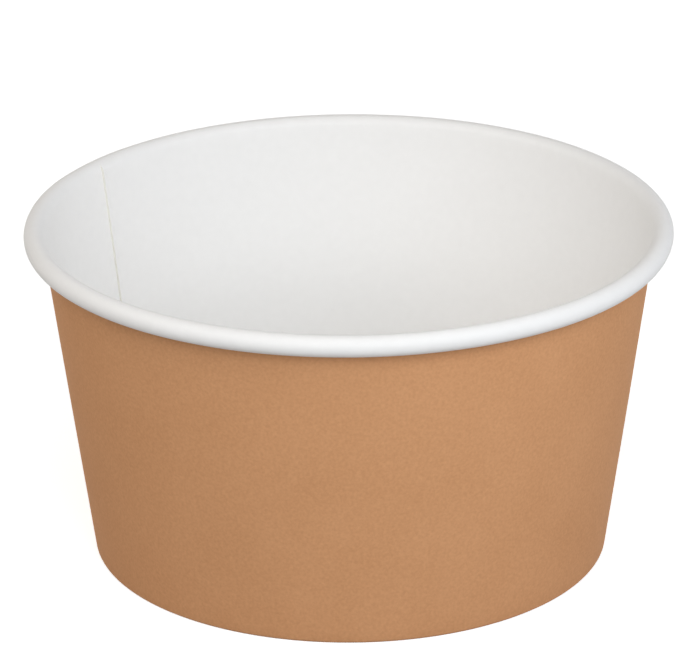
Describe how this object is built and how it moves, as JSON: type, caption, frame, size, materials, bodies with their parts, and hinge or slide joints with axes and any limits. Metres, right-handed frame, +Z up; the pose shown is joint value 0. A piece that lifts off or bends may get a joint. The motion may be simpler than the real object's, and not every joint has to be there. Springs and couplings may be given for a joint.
{
  "type": "paper ice cream tub",
  "caption": "Round tapered paperboard tub for ice cream: kraft brown outside, white inside, outward rolled white rim, glued side seam and a recessed base held by a folded foot.",
  "frame": {"origin": "centre of the circle on which the foot stands, on the table plane", "axes": "+Z up along the tub's axis towards the open mouth; the picture looks along +Y with +X to the right; the inner edge of the side seam lies at 147 degrees from +X towards +Y"},
  "size_m": [0.0904, 0.09, 0.048],
  "materials": {
    "kraft_board": "matt kraft brown print outside, white coated inside",
    "white_board": "white coated board with a soft satin sheen"
  },
  "bodies": {
    "root": {"sidewall": "kraft_board", "base_disc": "white_board"}
  },
  "joints": []
}
